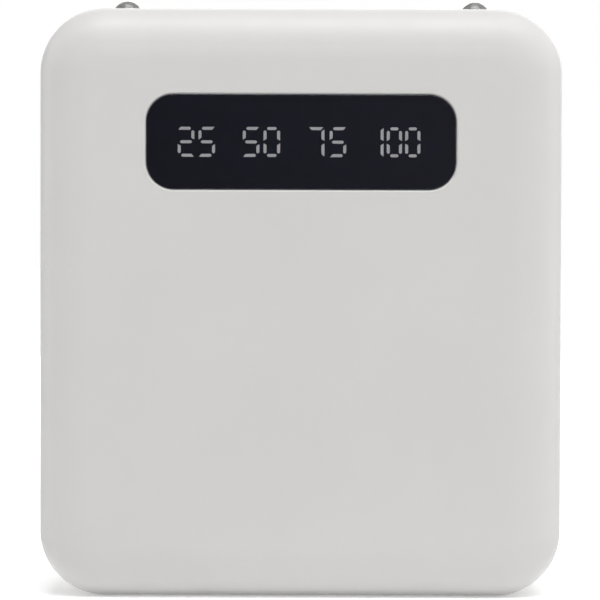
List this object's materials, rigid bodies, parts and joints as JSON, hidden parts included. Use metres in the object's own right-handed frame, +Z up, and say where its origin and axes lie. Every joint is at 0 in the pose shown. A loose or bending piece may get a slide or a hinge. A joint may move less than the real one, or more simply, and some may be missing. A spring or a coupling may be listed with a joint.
{
  "type": "power bank",
  "caption": "Pocket power bank: rounded white housing with a dark charge-level window, torch lamps and charging sockets on top, and a side push button.",
  "frame": {"origin": "under the middle of the base, on the surface that the power bank stands on", "axes": "+Z up towards the sockets and lamps, +X to the right seen from the display side, +Y from the display side to the rear face"},
  "size_m": [0.0847, 0.024, 0.0967],
  "materials": {
    "housing_plastic": "fine matt texture",
    "smoked_window": "polished, dark smoke tint",
    "black_film": "printed matt black",
    "white_film": "milky white, lit from behind",
    "black_moulding": "moulded, satin",
    "adhesive": "foam tape",
    "white_lamp": "yellow phosphor on white",
    "board_green": "green solder mask",
    "screw_steel": "zinc plated",
    "socket_steel": "nickel plated sheet",
    "white_moulding": "moulded, satin",
    "gold_contact": "gold plated",
    "clear_lens": "clear cast resin",
    "pin_steel": "tinned",
    "ferrite": "matt grey ferrite",
    "chip_black": "moulded epoxy",
    "capacitor_tan": "fired ceramic",
    "cell_sleeve": "shrunk plastic sleeve",
    "ring_paper": "stiff paper",
    "nickel": "plain nickel strip",
    "red_lead": "red insulation",
    "black_lead": "black insulation",
    "foam": "closed-cell foam",
    "tan_paper": "stiff insulating paper"
  },
  "bodies": {
    "housing": {"front_cover": "housing_plastic", "rear_cover": "housing_plastic", "display_window": "smoked_window", "window_adhesive": "adhesive", "display_mask": "black_film", "display_diffuser": "white_film", "display_reflector": "black_moulding", "display_leds": "white_lamp", "main_board": "board_green", "board_screws": "screw_steel", "left_usb_a_shell": "socket_steel", "left_usb_a_tongue": "white_moulding", "left_usb_a_contacts": "gold_contact", "right_usb_a_shell": "socket_steel", "right_usb_a_tongue": "white_moulding", "right_usb_a_contacts": "gold_contact", "usb_c_shell": "socket_steel", "usb_c_tongue": "black_moulding", "usb_c_contacts": "gold_contact", "left_torch_lens": "clear_lens", "left_torch_pins": "pin_steel", "right_torch_lens": "clear_lens", "right_torch_pins": "pin_steel", "switch_body": "black_moulding", "switch_cover": "socket_steel", "boost_inductor": "ferrite", "controller_chip": "chip_black", "charger_chip": "chip_black", "board_capacitors": "capacitor_tan", "cell_far_left": "cell_sleeve", "cell_left": "cell_sleeve", "cell_right": "cell_sleeve", "cell_far_right": "cell_sleeve", "cell_insulators": "ring_paper", "positive_strip": "nickel", "negative_strip": "nickel", "positive_lead": "red_lead", "negative_lead": "black_lead", "foam_pads": "foam", "insulation_sheet": "tan_paper"},
    "power_button": {"power_button": "housing_plastic"},
    "switch_plunger": {"switch_plunger": "black_moulding"}
  },
  "joints": [
    {"name": "button_press", "type": "slide", "parent": "housing", "child": "power_button", "axis": [-1, 0, 0], "range_m": [0, 0.0004], "stiffness_N_per_m": 2000},
    {"name": "plunger_press", "type": "slide", "parent": "housing", "child": "switch_plunger", "axis": [-1, 0, 0], "range_m": [0, 0.0004]}
  ],
  "couplings": [
    {"joint": "plunger_press", "follows": "button_press", "ratio": 1}
  ]
}
